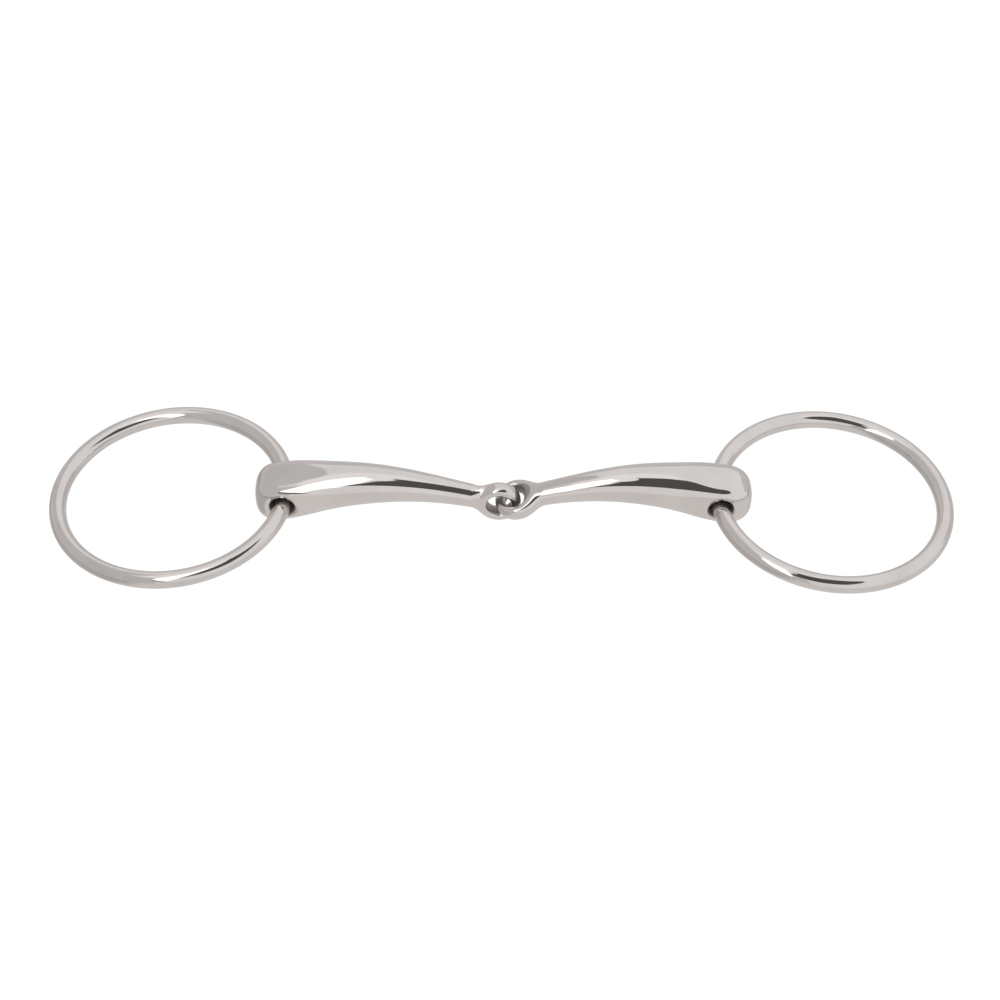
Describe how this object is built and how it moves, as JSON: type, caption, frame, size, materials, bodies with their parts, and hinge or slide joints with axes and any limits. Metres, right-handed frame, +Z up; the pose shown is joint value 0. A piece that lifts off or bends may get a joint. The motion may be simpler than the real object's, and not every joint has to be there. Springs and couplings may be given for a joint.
{
  "type": "snaffle bit",
  "caption": "Single-jointed loose-ring snaffle bit: two curved steel cannons linked eye through eye, each carrying a loose wire ring.",
  "frame": {"origin": "on the surface that the bit lies on, under the middle of its overall length and width", "axes": "+X along the mouthpiece towards the right ring, +Y along the ring holes, +Z up from the surface"},
  "size_m": [0.279, 0.0758, 0.0187],
  "materials": {
    "ring_steel": "polished stainless steel",
    "cannon_steel": "mirror-polished stainless steel"
  },
  "bodies": {
    "left_cannon": {"left_cannon": "cannon_steel"},
    "right_cannon": {"right_cannon": "cannon_steel"},
    "left_ring": {"left_ring": "ring_steel"},
    "right_ring": {"right_ring": "ring_steel"}
  },
  "joints": [
    {"name": "centre_fold", "type": "hinge", "parent": "left_cannon", "child": "right_cannon", "pos_m": [-0.0008, -0.0032, 0.0068], "axis": [0, 1, 0], "range_deg": [-75, 75]},
    {"name": "left_ring_swing", "type": "hinge", "parent": "left_cannon", "child": "left_ring", "pos_m": [-0.0671, 0, 0.0075], "axis": [0, 1, 0], "range_deg": [-90, 90]},
    {"name": "right_ring_swing", "type": "hinge", "parent": "right_cannon", "child": "right_ring", "pos_m": [0.0671, 0, 0.0075], "axis": [0, 1, 0], "range_deg": [-90, 90]}
  ]
}
